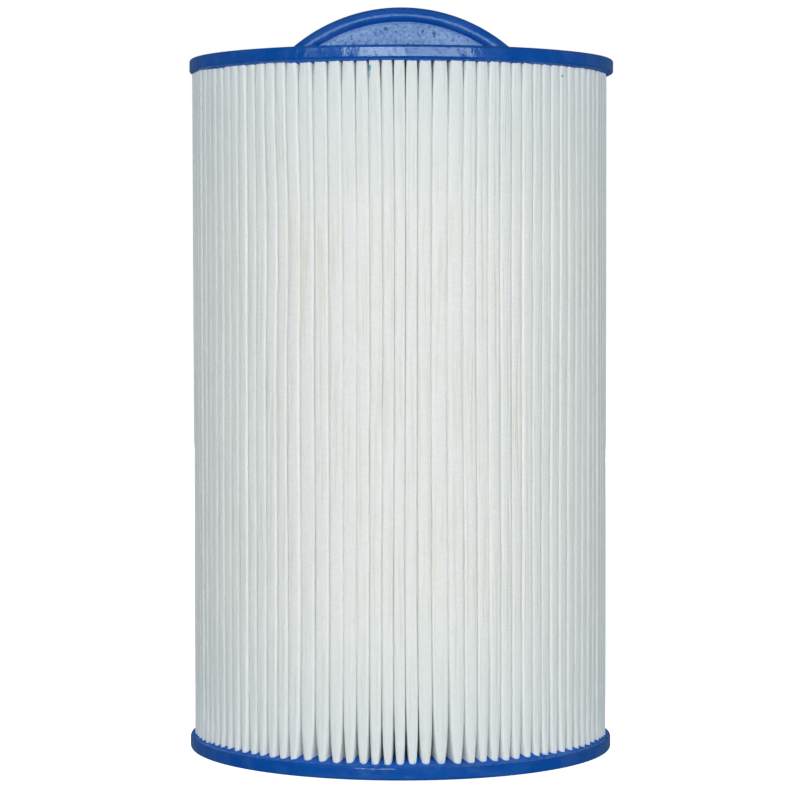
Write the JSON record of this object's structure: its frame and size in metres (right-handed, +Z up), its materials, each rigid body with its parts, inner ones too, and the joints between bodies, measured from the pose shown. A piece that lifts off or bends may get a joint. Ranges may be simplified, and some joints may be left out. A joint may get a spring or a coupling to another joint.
{
  "type": "filter cartridge",
  "caption": "Pleated cartridge filter with cast round end caps, a half-moon lifting handle on top and an open outlet bore below.",
  "frame": {"origin": "centre of the bottom cap's resting face, on the cartridge's axis", "axes": "+Z up along the cartridge's axis, towards the handle; +X along the handle; -Y is the front, and the sheet's seam is at +Y"},
  "size_m": [0.1524, 0.1524, 0.267],
  "materials": {
    "cast_urethane": "satin",
    "spunbond_polyester": "matte",
    "core_plastic": "satin",
    "hot_melt": "satin"
  },
  "bodies": {
    "root": {"handle": "cast_urethane", "top_cap": "cast_urethane", "pleat_pack": "spunbond_polyester", "core_tube": "core_plastic", "seam_bead": "hot_melt", "bottom_cap": "cast_urethane"}
  },
  "joints": []
}
